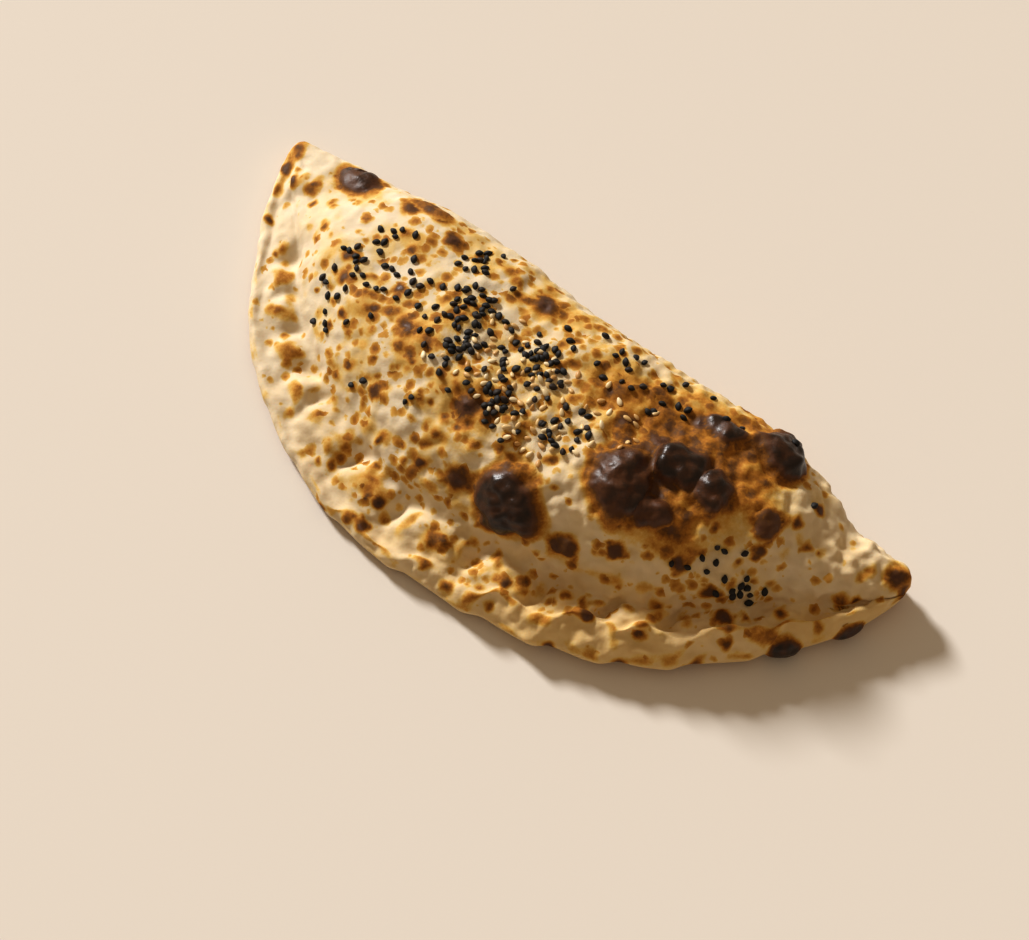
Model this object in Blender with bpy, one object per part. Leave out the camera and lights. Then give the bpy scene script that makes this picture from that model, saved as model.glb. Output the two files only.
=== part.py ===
"""A large half-moon samosa, baked until it blistered: one closed crust with its crimped rim and its seeds.

The length lies along X, the crimped rim bulges towards -Y, the folded edge is at +Y, and the flat
underside rests on Z = 0. Two shares place everything on the crust: `along` runs from the sharp tip (0)
to the puffed tip (1), and `across` runs once round a section, starting at the rim's outer edge and
passing over the top first. All sizes are in metres.
"""

import math

import bmesh
import bpy
import numpy as np
from mathutils import Matrix, Vector

# Plan: the course of the rim and of the folded edge, each as (x, y) from the sharp tip to the puffed one.
RIM_COURSE = (
    (-0.1195, 0.0360),
    (-0.1125, 0.0185),
    (-0.1040, 0.0040),
    (-0.0845, -0.0220),
    (-0.0600, -0.0385),
    (-0.0280, -0.0500),
    (0.0140, -0.0492),
    (0.0480, -0.0420),
    (0.0750, -0.0275),
    (0.0940, -0.0085),
    (0.1100, 0.0130),
    (0.1190, 0.0320),
)
FOLD_COURSE = (
    (-0.1195, 0.0420),
    (-0.0980, 0.0450),
    (-0.0770, 0.0460),
    (-0.0530, 0.0487),
    (-0.0100, 0.0473),
    (0.0340, 0.0482),
    (0.0640, 0.0510),
    (0.0810, 0.0485),
    (0.0930, 0.0447),
    (0.1050, 0.0430),
    (0.1195, 0.0440),
)
TIP_LENGTHS = (0.006, 0.012)  # how far each tip takes to round off, sharp tip first

# Heights against the share of the length.
CROWN = (
    (0.00, 0.0090),
    (0.10, 0.0160),
    (0.20, 0.0255),
    (0.30, 0.0315),
    (0.45, 0.0350),
    (0.60, 0.0355),
    (0.72, 0.0335),
    (0.80, 0.0290),
    (0.88, 0.0190),
    (0.94, 0.0160),
    (1.00, 0.0150),
)
RIM_THICKNESS = (
    (0.00, 0.0080),
    (0.15, 0.0080),
    (0.32, 0.0064),
    (0.55, 0.0068),
    (0.68, 0.0098),
    (0.80, 0.0108),
    (0.92, 0.0105),
    (1.00, 0.0120),
)
LIP_DEPTHS = (
    (0.00, 0.0030),
    (0.50, 0.0036),
    (0.66, 0.0070),
    (0.85, 0.0075),
    (1.00, 0.0060),
)

# Section: the rim's rounded lip, its pressed flange, and the places of the crown and of the fold.
FLANGE_DEPTH = 0.0180
LIP_SHARE = 0.18  # most of a narrow section that the lip takes
FLANGE_SHARE = 0.32
LEDGE_HEIGHT = 0.0090
LEDGE_SHARE = 0.9
EDGE_HEIGHT_SHARE = 0.45
EDGE_LIFT = 0.0018
EDGE_LIFT_START = 0.5  # share of the underside after which it lifts towards the rim
CROWN_PLACE = 0.42
FOLD_HEIGHT_SHARE = 0.44
FOLD_FOOT = 0.0130
FOLD_FOOT_SHARE = 0.22
RISE_POWER = 0.76  # under 1, the crust climbs steeply behind its rim and then levels out
RISE_SOFTNESS = 0.60  # added to that power at the foot of the climb, where it starts gently
RISE_FOOT = 0.14
FALL_POWER = 1.40
LIP_END, FLANGE_END, CROWN_END, FOLD_END, FOOT_END, BASE_END = 0.09, 0.27, 0.53, 0.80, 0.87, 0.96

# Crimps: where each finger pressed, as (distance along the rim, depth of the slot that it left).
CRIMPS = (
    (0.0040, 0.0008),
    (0.0170, 0.0012),
    (0.0300, 0.0016),
    (0.0510, 0.0020),
    (0.0635, 0.0010),
    (0.0760, 0.0019),
    (0.0905, 0.0028),
    (0.1020, 0.0016),
    (0.1240, 0.0034),
    (0.1465, 0.0028),
    (0.1740, 0.0036),
    (0.1970, 0.0032),
    (0.2185, 0.0040),
    (0.2380, 0.0032),
    (0.2620, 0.0016),
    (0.2840, 0.0010),
)
SLOT_WIDTH = 0.0027  # along the rim
SLOT_REACH = 0.0056  # across the rim
SLOT_PLACE = 0.0146  # in from the outer edge
CRIMP_SLANTS = (
    (0.00, 0.75),
    (0.20, 0.55),
    (0.35, 0.30),
    (1.00, 0.15),
)  # how far along the rim a crimp runs for each metre that it runs in

# The dough puffed up between two crimps.
LOBE_HEIGHTS = (
    (0.00, 0.0008),
    (0.15, 0.0020),
    (0.40, 0.0028),
    (0.70, 0.0026),
    (0.85, 0.0016),
    (1.00, 0.0006),
)
LOBE_PLACE = 0.0130
LOBE_REACH = 0.0064
TROUGH_DEPTH = 0.0012  # of the groove between the lobes and the lip
TROUGH_PLACE = 0.0058
TROUGH_REACH = 0.0024
TROUGH_END = (0.52, 0.66)  # stretch of the length where the groove runs out
CRIMP_DRIFT = 0.0008  # how far hand work strayed from all these lines
DRIFT_LENGTHS = (0.007, 0.018)
DRIFT_SEEDS = (7, 8)

# The rim is folded over like a rope: its ridge steps in and up after each crimp, then runs down and out.
FOLD_START = 0.38  # share of a crimp's pitch past the crimp
FOLD_STEP = 0.22  # share of the pitch that the step takes
FOLD_MIDDLE = 0.42
RIDGE_DEPTHS = (
    (0.00, 0.0020),
    (0.45, 0.0026),
    (0.60, 0.0060),
    (0.68, 0.0090),
    (0.80, 0.0080),
    (0.92, 0.0065),
    (1.00, 0.0050),
)
RIDGE_SWINGS = (
    (0.00, 0.0010),
    (0.45, 0.0022),
    (0.62, 0.0042),
    (0.80, 0.0038),
    (1.00, 0.0020),
)
RIDGE_HEIGHTS = (
    (0.00, 0.0000),
    (0.34, 0.0002),
    (0.50, 0.0018),
    (0.68, 0.0027),
    (0.85, 0.0026),
    (0.95, 0.0014),
    (1.00, 0.0005),
)
RIDGE_WIDTH = 0.0017
RIDGE_LEAST = 0.6  # share of its height that the ridge keeps where it runs out
RIDGE_GAIN = 0.8  # share that it gains at each step
EDGE_BULGES = (
    (0.00, 0.0008),
    (0.40, 0.0012),
    (0.55, 0.0022),
    (1.00, 0.0022),
)  # how far each fold pushes the rim's edge out
EDGE_REACH = (0.0040, 0.0100)  # in from the edge, where its scallops fade out

# Where the relief of the top side starts and ends.
RIM_START = 0.03
TIP_FADE = (0.02, 0.06)
CRIMP_INNER_FADE = (0.5, 0.9)
LUMP_LIFT = (0.004, 0.016)

# Slow unevenness of hand-stretched dough.
LUMP_HEIGHT = 0.0010
LUMP_LENGTHS = (0.016, 0.044)
LUMP_SEED = 5
WAVES = 14

# Blisters: (along, across, radius along, radius across, height).
BLISTERS = (
    (0.556, 0.348, 0.0106, 0.0102, 0.0050),
    (0.643, 0.495, 0.0098, 0.0106, 0.0048),
    (0.685, 0.562, 0.0080, 0.0072, 0.0045),
    (0.729, 0.543, 0.0064, 0.0064, 0.0036),
    (0.684, 0.460, 0.0066, 0.0054, 0.0026),
    (0.777, 0.672, 0.0088, 0.0086, 0.0050),
    (0.702, 0.647, 0.0062, 0.0044, 0.0022),
    (0.127, 0.632, 0.0080, 0.0054, 0.0024),
    (0.625, 0.332, 0.0044, 0.0033, 0.0014),
    (0.801, 0.523, 0.0044, 0.0044, 0.0016),
    (0.240, 0.680, 0.0074, 0.0036, 0.0014),
    (0.884, 0.016, 0.0046, 0.0040, 0.0018),
    (0.951, 0.005, 0.0046, 0.0034, 0.0016),
)
BLISTER_SINK = 0.5  # how deep a dome's middle lies, of its height from there to its top

# Seeds lie in patches: (along, across, spread along, spread across, share of the seeds).
SEED_PATCHES = (
    (0.247, 0.475, 0.016, 0.035, 0.075),
    (0.246, 0.568, 0.012, 0.020, 0.020),
    (0.256, 0.357, 0.022, 0.030, 0.050),
    (0.304, 0.524, 0.018, 0.040, 0.060),
    (0.348, 0.652, 0.016, 0.014, 0.060),
    (0.341, 0.604, 0.010, 0.015, 0.025),
    (0.391, 0.583, 0.015, 0.026, 0.130),
    (0.411, 0.547, 0.010, 0.018, 0.060),
    (0.421, 0.498, 0.013, 0.020, 0.060),
    (0.357, 0.533, 0.020, 0.030, 0.030),
    (0.491, 0.597, 0.018, 0.026, 0.130),
    (0.455, 0.582, 0.020, 0.030, 0.050),
    (0.486, 0.518, 0.022, 0.035, 0.045),
    (0.508, 0.463, 0.015, 0.030, 0.025),
    (0.566, 0.529, 0.014, 0.024, 0.080),
    (0.583, 0.631, 0.030, 0.025, 0.045),
    (0.417, 0.399, 0.010, 0.014, 0.020),
    (0.355, 0.341, 0.018, 0.012, 0.020),
    (0.546, 0.673, 0.020, 0.012, 0.015),
    (0.639, 0.658, 0.030, 0.018, 0.025),
    (0.723, 0.683, 0.030, 0.014, 0.015),
    (0.808, 0.314, 0.010, 0.018, 0.045),
    (0.777, 0.405, 0.014, 0.020, 0.030),
    (0.749, 0.358, 0.014, 0.020, 0.012),
    (0.841, 0.640, 0.014, 0.020, 0.010),
)
SEED_COUNT = 110
SEED_SEED = 11
SEED_GAP = 0.0021  # least distance between the middles of two seeds
SEED_SIZE = (0.0013, 0.0009, 0.0008)  # half of its length, width and thickness
SEED_RISE = 0.25  # height of its middle over the crust, of its half thickness

RINGS = 96
SEGMENTS = 32
BLISTER_RINGS = 7
BLISTER_SEGMENTS = 12
SLOPE_STEP = 0.004  # shares between the places that a slope is read from
SEAM = 1e-6  # share within which a point lies on the seam of the sphere

CRUST_COLOUR = (0.72, 0.50, 0.27, 1.0)
CRUST_ROUGHNESS = 0.6


def through(knots, at):
    """Read a smooth curve at some stations; each knot is a station followed by its values."""
    knots = np.array(knots)
    stations, values = knots[:, 0], knots[:, 1:]
    slopes = np.gradient(values, stations, axis=0)
    start = np.clip(np.searchsorted(stations, at, side="right") - 1, 0, len(stations) - 2)
    gap = stations[start + 1] - stations[start]
    t = ((at - stations[start]) / gap)[:, None]
    gap = gap[:, None]
    return (
        values[start] * (1 + 2 * t) * (1 - t) ** 2
        + values[start + 1] * t**2 * (3 - 2 * t)
        + slopes[start] * gap * t * (1 - t) ** 2
        - slopes[start + 1] * gap * t**2 * (1 - t)
    )


def smooth(low, high, value):
    t = np.clip((value - low) / (high - low), 0, 1)
    return t * t * (3 - 2 * t)


def share(low, high, value):
    return np.clip((value - low) / (high - low), 0, 1)


def with_lengths(course):
    """Put in front of each point of a course its distance along it."""
    points = np.array(course)
    steps = np.linalg.norm(np.diff(points, axis=0), axis=1)
    return np.column_stack([np.concatenate([[0], np.cumsum(steps)]), points])


def on_course(course, along):
    knots = with_lengths(course)
    return through(knots, along * knots[-1, 0])


def rim_length():
    return with_lengths(RIM_COURSE)[-1, 0]


def section(across, width, crown, rim, lip):
    """Depth in from the rim's edge and height, at a share of the way round a section."""
    lip = np.minimum(lip, LIP_SHARE * width)
    flange = np.minimum(FLANGE_DEPTH, FLANGE_SHARE * width)
    top = flange + CROWN_PLACE * (width - flange)
    foot = np.minimum(FOLD_FOOT, FOLD_FOOT_SHARE * width)
    edge = EDGE_HEIGHT_SHARE * rim
    ledge = np.minimum(LEDGE_HEIGHT, LEDGE_SHARE * crown)
    fold = np.maximum(FOLD_HEIGHT_SHARE * crown, edge)
    quarter = math.pi / 2

    over_lip = quarter * share(0, LIP_END, across)
    on_flange = share(LIP_END, FLANGE_END, across)
    rising = share(FLANGE_END, CROWN_END, across)
    power = RISE_POWER + RISE_SOFTNESS * (1 - smooth(0, RISE_FOOT, rising))
    falling = quarter * share(CROWN_END, FOLD_END, across)
    tucking = quarter * share(FOLD_END, FOOT_END, across)
    beneath = share(FOOT_END, BASE_END, across)
    under_lip = quarter * share(BASE_END, 1, across)

    depth = (
        lip * (1 - np.cos(over_lip))
        + (flange - lip) * on_flange
        + (top - flange) * rising
        + (width - top) * np.sin(falling)
        - foot * (1 - np.cos(tucking))
        - (width - foot - lip) * beneath
        - lip * np.sin(under_lip)
    )
    height = (
        edge
        + (rim - edge) * np.sin(over_lip)
        - (rim - ledge) * on_flange
        + (crown - ledge) * np.sin(quarter * rising) ** power
        - (crown - fold) * (1 - np.cos(falling)) ** FALL_POWER
        - fold * np.sin(tucking)
        + EDGE_LIFT * smooth(EDGE_LIFT_START, 1, beneath)
        + (edge - EDGE_LIFT) * (1 - np.cos(under_lip))
    )
    return depth, height


def waves(points, lengths, seed):
    """Slow waves in all directions, between about -1 and 1."""
    draw = np.random.default_rng(seed)
    total = np.zeros(len(points))
    for _ in range(WAVES):
        heading = draw.normal(size=3)
        heading /= np.linalg.norm(heading)
        length = draw.uniform(*lengths)
        total += np.sin(2 * math.pi * (points @ heading) / length + draw.uniform(0, 2 * math.pi))
    return total / math.sqrt(WAVES)


def crimping(along, depth):
    """Height that the fingers added to or took from the rim, and how far its edge bulges out."""
    unrolled = np.column_stack([along * rim_length(), depth, np.zeros(len(depth))])
    distance = unrolled[:, 0] + CRIMP_DRIFT * waves(unrolled, DRIFT_LENGTHS, DRIFT_SEEDS[0])
    depth = depth + CRIMP_DRIFT * waves(unrolled, DRIFT_LENGTHS, DRIFT_SEEDS[1])
    distance -= through(CRIMP_SLANTS, along)[:, 0] * (depth - SLOT_PLACE)
    crimps, slots = np.array(CRIMPS).T
    phase = np.interp(distance, crimps, np.arange(len(crimps)))
    away = ((distance[:, None] - crimps) / SLOT_WIDTH) ** 2
    slot = (np.exp(-away) @ slots) * np.exp(-(((depth - SLOT_PLACE) / SLOT_REACH) ** 2))
    lobe = np.sqrt(np.abs(np.sin(math.pi * phase))) * np.exp(-(((depth - LOBE_PLACE) / LOBE_REACH) ** 2))
    trough = np.exp(-(((depth - TROUGH_PLACE) / TROUGH_REACH) ** 2)) * (1 - smooth(*TROUGH_END, along))
    turn = (phase - FOLD_START) % 1
    fold = smooth(0, FOLD_STEP, turn) * (1 - turn)
    swing = fold - FOLD_MIDDLE
    ridge_place = through(RIDGE_DEPTHS, along)[:, 0] + through(RIDGE_SWINGS, along)[:, 0] * swing
    ridge = np.exp(-(((depth - ridge_place) / RIDGE_WIDTH) ** 2)) * (RIDGE_LEAST + RIDGE_GAIN * fold)
    height = through(LOBE_HEIGHTS, along)[:, 0] * lobe - slot - TROUGH_DEPTH * trough
    height += through(RIDGE_HEIGHTS, along)[:, 0] * ridge
    bulge = -through(EDGE_BULGES, along)[:, 0] * swing * (1 - smooth(*EDGE_REACH, depth))
    return height, bulge


def crust_points(along, across):
    """Points of the crust's surface, without its blisters and seeds."""
    along, across = np.broadcast_arrays(np.atleast_1d(along), np.atleast_1d(across))
    rim_place = on_course(RIM_COURSE, along)
    fold_place = on_course(FOLD_COURSE, along)
    inward = fold_place - rim_place
    width = np.linalg.norm(inward, axis=1)
    inward /= width[:, None]
    crown = through(CROWN, along)[:, 0]
    rim = through(RIM_THICKNESS, along)[:, 0]
    depth, height = section(across, width, crown, rim, through(LIP_DEPTHS, along)[:, 0])

    on_top = smooth(0.0, RIM_START, across) * (1 - smooth(FOLD_END, FOOT_END, across))
    pressed, bulge = crimping(along, depth)
    height += pressed * on_top * smooth(*TIP_FADE, along) * (1 - smooth(*CRIMP_INNER_FADE, depth / width))
    depth -= bulge

    ends = np.array(TIP_LENGTHS) / rim_length()
    from_tip = np.minimum(np.minimum(along / ends[0], (1 - along) / ends[1]), 1)
    closing = np.sqrt(np.maximum(1 - (1 - from_tip) ** 2, 0))
    depth = width / 2 + (depth - width / 2) * closing
    middle = rim / 2
    height = middle + (height - middle) * closing

    places = rim_place + inward * depth[:, None]
    points = np.column_stack([places, height])
    lumps = LUMP_HEIGHT * waves(points, LUMP_LENGTHS, LUMP_SEED) * smooth(*LUMP_LIFT, height)
    points[:, 2] += lumps * on_top * closing
    return points


def material(name, colour, roughness):
    """A plain finish for a sub-part."""
    finish = bpy.data.materials.new(name)
    finish.use_nodes = True
    surface = finish.node_tree.nodes["Principled BSDF"]
    surface.inputs["Base Color"].default_value = colour
    surface.inputs["Roughness"].default_value = roughness
    surface.inputs["Metallic"].default_value = 0.0
    return finish


def object_of(bm, name, collection):
    mesh = bpy.data.meshes.new(name)
    bm.to_mesh(mesh)
    bm.free()
    made = bpy.data.objects.new(name, mesh)
    collection.objects.link(made)
    return made


def make_crust(collection):
    """A UV sphere whose poles become the tips and whose rings become the sections."""
    bm = bmesh.new()
    bmesh.ops.create_uvsphere(bm, u_segments=SEGMENTS, v_segments=RINGS, radius=1.0)
    along = np.array([math.acos(max(-1, min(1, vert.co.z))) / math.pi for vert in bm.verts])
    across = np.array([(math.atan2(vert.co.y, vert.co.x) / (2 * math.pi)) % 1.0 for vert in bm.verts])
    across[across > 1 - SEAM] = 0
    for vert, point in zip(bm.verts, crust_points(along, across)):
        vert.co = point
    bmesh.ops.recalc_face_normals(bm, faces=bm.faces)
    crust = object_of(bm, "samosa", collection)
    crust.data.materials.append(material("baked_dough", CRUST_COLOUR, CRUST_ROUGHNESS))
    return crust


def frame_on_crust(along, across):
    """Matrix that lays X along the crust, Y across it and Z out of it, at one place."""
    ahead, beside = along + SLOPE_STEP, across + SLOPE_STEP
    place, ahead, beside = crust_points([along, ahead, along], [across, across, beside])
    out = np.cross(ahead - place, beside - place)
    out = Vector(out if out[2] > 0 or across < LIP_END else -out).normalized()
    forward = Vector(ahead - place)
    forward = (forward - out * forward.dot(out)).normalized()
    turn = Matrix((forward, out.cross(forward), out)).transposed()
    return Matrix.Translation(Vector(place)) @ turn.to_4x4()


def make_blisters(collection):
    """Flattened domes, sunk a little so that each rises from the crust at a slant."""
    for number, (along, across, reach_along, reach_across, height) in enumerate(BLISTERS):
        tall = height / (1 - BLISTER_SINK)
        widen = 1 / math.sqrt(1 - BLISTER_SINK**2)
        sizes = (reach_along * widen, reach_across * widen, tall, 1)
        bm = bmesh.new()
        bmesh.ops.create_uvsphere(bm, u_segments=BLISTER_SEGMENTS, v_segments=BLISTER_RINGS, radius=1.0)
        place = frame_on_crust(along, across) @ Matrix.Translation((0, 0, -BLISTER_SINK * tall))
        bmesh.ops.transform(bm, matrix=place @ Matrix.Diagonal(sizes), verts=bm.verts)
        object_of(bm, f"blister_{number + 1}", collection)


def seed_places():
    """(along, across, spin) of each seed, drawn patch by patch and kept apart from the others."""
    draw = np.random.default_rng(SEED_SEED)
    patches = np.array(SEED_PATCHES)
    odds = patches[:, 4] / patches[:, 4].sum()
    kept, points = [], np.full((1, 3), np.inf)
    while len(kept) < SEED_COUNT:
        patch = patches[draw.choice(len(patches), p=odds)]
        along, across = draw.normal(patch[:2], patch[2:4])
        spin = draw.uniform(0, math.pi)
        point = crust_points(along, across)
        if np.linalg.norm(points - point, axis=1).min() > SEED_GAP:
            kept.append((along, across, spin))
            points = np.vstack([points, point])
    return kept


def make_seeds(collection):
    for number, (along, across, spin) in enumerate(seed_places()):
        bm = bmesh.new()
        bmesh.ops.create_icosphere(bm, subdivisions=1, radius=1.0)
        place = frame_on_crust(along, across) @ Matrix.Rotation(spin, 4, "Z")
        place @= Matrix.Translation((0, 0, SEED_RISE * SEED_SIZE[2]))
        bmesh.ops.transform(bm, matrix=place @ Matrix.Diagonal((*SEED_SIZE, 1)), verts=bm.verts)
        object_of(bm, f"seed_{number + 1}", collection)


def keep_largest_body(bm):
    """Drop loose scraps, and fill any hollow that the joining sealed."""
    left = set(bm.verts)
    bodies = []
    while left:
        front = [left.pop()]
        body = set(front)
        while front:
            for edge in front.pop().link_edges:
                for vert in edge.verts:
                    if vert not in body:
                        body.add(vert)
                        front.append(vert)
        left -= body
        bodies.append(body)
    bodies.sort(key=len)
    for body in bodies[:-1]:
        bmesh.ops.delete(bm, geom=list(body), context="VERTS")


def fuse(crust, toppings):
    """Join everything in the collection to the crust with one Boolean union, then drop the collection."""
    union = crust.modifiers.new("toppings", "BOOLEAN")
    union.operation = "UNION"
    union.operand_type = "COLLECTION"
    union.collection = toppings
    union.solver = "EXACT"
    bpy.context.view_layer.update()
    joined = crust.evaluated_get(bpy.context.evaluated_depsgraph_get())
    bm = bmesh.new()
    bm.from_mesh(bpy.data.meshes.new_from_object(joined))
    keep_largest_body(bm)
    bmesh.ops.triangulate(bm, faces=bm.faces)
    crust.modifiers.remove(union)
    bm.to_mesh(crust.data)
    bm.free()
    for topping in list(toppings.objects):
        bpy.data.objects.remove(topping)
    bpy.data.collections.remove(toppings)


def main():
    for old in list(bpy.data.objects):
        bpy.data.objects.remove(old)
    samosa = bpy.data.collections.new("samosa")
    toppings = bpy.data.collections.new("toppings")
    bpy.context.scene.collection.children.link(samosa)
    bpy.context.scene.collection.children.link(toppings)
    crust = make_crust(samosa)
    make_blisters(toppings)
    make_seeds(toppings)
    fuse(crust, toppings)
    crust.data.shade_smooth()


main()
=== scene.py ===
"""The looks of a large baked half-moon samosa: its toasted crust, its nigella seeds and its sesame seeds.

Two shares place everything on the crust. `along` runs from the sharp tip (0) to the puffed tip (1), and
`across` runs once round a section, from the rim's outer edge over the top to the fold, and back beneath.
Sizes are in metres.
"""

import math

import bmesh
import bpy
import numpy as np
from mathutils import Matrix, Vector, noise
from mathutils.bvhtree import BVHTree


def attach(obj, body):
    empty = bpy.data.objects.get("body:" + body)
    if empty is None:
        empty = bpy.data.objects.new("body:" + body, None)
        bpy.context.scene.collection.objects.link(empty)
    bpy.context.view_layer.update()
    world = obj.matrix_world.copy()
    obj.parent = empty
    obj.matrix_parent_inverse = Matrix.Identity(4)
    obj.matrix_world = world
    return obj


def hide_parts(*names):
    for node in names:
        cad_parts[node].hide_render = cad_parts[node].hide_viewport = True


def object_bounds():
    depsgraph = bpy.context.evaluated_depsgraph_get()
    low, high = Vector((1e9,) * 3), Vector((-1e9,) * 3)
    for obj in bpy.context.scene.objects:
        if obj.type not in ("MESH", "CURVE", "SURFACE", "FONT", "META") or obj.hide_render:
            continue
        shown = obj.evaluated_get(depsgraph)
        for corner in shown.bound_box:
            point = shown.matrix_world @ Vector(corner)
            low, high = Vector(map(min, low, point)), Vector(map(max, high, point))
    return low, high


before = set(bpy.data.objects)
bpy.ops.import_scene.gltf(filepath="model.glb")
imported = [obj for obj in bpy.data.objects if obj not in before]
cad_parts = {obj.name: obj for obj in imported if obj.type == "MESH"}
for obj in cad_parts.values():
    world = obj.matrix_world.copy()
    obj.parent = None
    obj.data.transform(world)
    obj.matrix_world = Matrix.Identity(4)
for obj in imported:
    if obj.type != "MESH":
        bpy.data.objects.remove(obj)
cad_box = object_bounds()

# Plan: the course of the rim and of the folded edge, each as (x, y) from the sharp tip to the puffed one.
RIM_COURSE = (
    (-0.1195, 0.0360),
    (-0.1125, 0.0185),
    (-0.1040, 0.0040),
    (-0.0845, -0.0220),
    (-0.0600, -0.0385),
    (-0.0280, -0.0500),
    (0.0140, -0.0492),
    (0.0480, -0.0420),
    (0.0750, -0.0275),
    (0.0940, -0.0085),
    (0.1100, 0.0130),
    (0.1190, 0.0320),
)
FOLD_COURSE = (
    (-0.1195, 0.0420),
    (-0.0980, 0.0450),
    (-0.0770, 0.0460),
    (-0.0530, 0.0487),
    (-0.0100, 0.0473),
    (0.0340, 0.0482),
    (0.0640, 0.0510),
    (0.0810, 0.0485),
    (0.0930, 0.0447),
    (0.1050, 0.0430),
    (0.1195, 0.0440),
)
TIP_LENGTHS = (0.006, 0.012)  # how far each tip takes to round off, sharp tip first

# Heights against the share of the length.
CROWN = (
    (0.00, 0.0090),
    (0.10, 0.0160),
    (0.20, 0.0255),
    (0.30, 0.0315),
    (0.45, 0.0350),
    (0.60, 0.0355),
    (0.72, 0.0335),
    (0.80, 0.0290),
    (0.88, 0.0190),
    (0.94, 0.0160),
    (1.00, 0.0150),
)
RIM_THICKNESS = (
    (0.00, 0.0080),
    (0.15, 0.0080),
    (0.32, 0.0064),
    (0.55, 0.0068),
    (0.68, 0.0098),
    (0.80, 0.0108),
    (0.92, 0.0105),
    (1.00, 0.0120),
)
LIP_DEPTHS = (
    (0.00, 0.0030),
    (0.50, 0.0036),
    (0.66, 0.0070),
    (0.85, 0.0075),
    (1.00, 0.0060),
)

# Section: the rim's rounded lip, its pressed flange, and the places of the crown and of the fold.
FLANGE_DEPTH = 0.0180
LIP_SHARE = 0.18
FLANGE_SHARE = 0.32
LEDGE_HEIGHT = 0.0090
LEDGE_SHARE = 0.9
EDGE_HEIGHT_SHARE = 0.45
EDGE_LIFT = 0.0018
EDGE_LIFT_START = 0.5  # share of the underside after which it lifts towards the rim
CROWN_PLACE = 0.42
FOLD_HEIGHT_SHARE = 0.44
FOLD_FOOT = 0.0130
FOLD_FOOT_SHARE = 0.22
RISE_POWER = 0.76  # under 1, the crust climbs steeply behind its rim and then levels out
RISE_SOFTNESS = 0.60  # added to that power at the foot of the climb, where it starts gently
RISE_FOOT = 0.14
FALL_POWER = 1.40
LIP_END, FLANGE_END, CROWN_END, FOLD_END, FOOT_END, BASE_END = 0.09, 0.27, 0.53, 0.80, 0.87, 0.96

# Crimps: where each finger pressed, as (distance along the rim, depth of the slot that it left).
CRIMPS = (
    (0.0040, 0.0008),
    (0.0170, 0.0012),
    (0.0300, 0.0016),
    (0.0510, 0.0020),
    (0.0635, 0.0010),
    (0.0760, 0.0019),
    (0.0905, 0.0028),
    (0.1020, 0.0016),
    (0.1240, 0.0034),
    (0.1465, 0.0028),
    (0.1740, 0.0036),
    (0.1970, 0.0032),
    (0.2185, 0.0040),
    (0.2380, 0.0032),
    (0.2620, 0.0016),
    (0.2840, 0.0010),
)
SLOT_WIDTH = 0.0027  # along the rim
SLOT_REACH = 0.0056  # across the rim
SLOT_PLACE = 0.0146  # in from the outer edge
CRIMP_SLANTS = (
    (0.00, 0.75),
    (0.20, 0.55),
    (0.35, 0.30),
    (1.00, 0.15),
)  # how far along the rim a crimp runs for each metre that it runs in

# The dough puffed up between two crimps.
LOBE_HEIGHTS = (
    (0.00, 0.0008),
    (0.15, 0.0020),
    (0.40, 0.0028),
    (0.70, 0.0026),
    (0.85, 0.0016),
    (1.00, 0.0006),
)
LOBE_PLACE = 0.0130
LOBE_REACH = 0.0064
TROUGH_DEPTH = 0.0012  # of the groove between the lobes and the lip
TROUGH_PLACE = 0.0058
TROUGH_REACH = 0.0024
TROUGH_END = (0.52, 0.66)  # stretch of the length where the groove runs out
CRIMP_DRIFT = 0.0008  # how far hand work strayed from all these lines
DRIFT_LENGTHS = (0.007, 0.018)
DRIFT_SEEDS = (7, 8)

# The rim is folded over like a rope: its ridge steps in and up after each crimp, then runs down and out.
FOLD_START = 0.38  # share of a crimp's pitch past the crimp
FOLD_STEP = 0.22  # share of the pitch that the step takes
FOLD_MIDDLE = 0.42
RIDGE_DEPTHS = (
    (0.00, 0.0020),
    (0.45, 0.0026),
    (0.60, 0.0060),
    (0.68, 0.0090),
    (0.80, 0.0080),
    (0.92, 0.0065),
    (1.00, 0.0050),
)
RIDGE_SWINGS = (
    (0.00, 0.0010),
    (0.45, 0.0022),
    (0.62, 0.0042),
    (0.80, 0.0038),
    (1.00, 0.0020),
)
RIDGE_HEIGHTS = (
    (0.00, 0.0000),
    (0.34, 0.0002),
    (0.50, 0.0018),
    (0.68, 0.0027),
    (0.85, 0.0026),
    (0.95, 0.0014),
    (1.00, 0.0005),
)
RIDGE_WIDTH = 0.0017
RIDGE_LEAST = 0.6  # share of its height that the ridge keeps where it runs out
RIDGE_GAIN = 0.8  # share that it gains at each step
EDGE_BULGES = (
    (0.00, 0.0008),
    (0.40, 0.0012),
    (0.55, 0.0022),
    (1.00, 0.0022),
)  # how far each fold pushes the rim's edge out
EDGE_REACH = (0.0040, 0.0100)  # in from the edge, where its scallops fade out

# Where the relief of the top side starts and ends.
RIM_START = 0.03
TIP_FADE = (0.02, 0.06)
CRIMP_INNER_FADE = (0.5, 0.9)
LUMP_LIFT = (0.004, 0.016)

# Slow unevenness of hand-stretched dough.
LUMP_HEIGHT = 0.0010
LUMP_LENGTHS = (0.016, 0.044)
LUMP_SEED = 5
WAVES = 14

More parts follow.
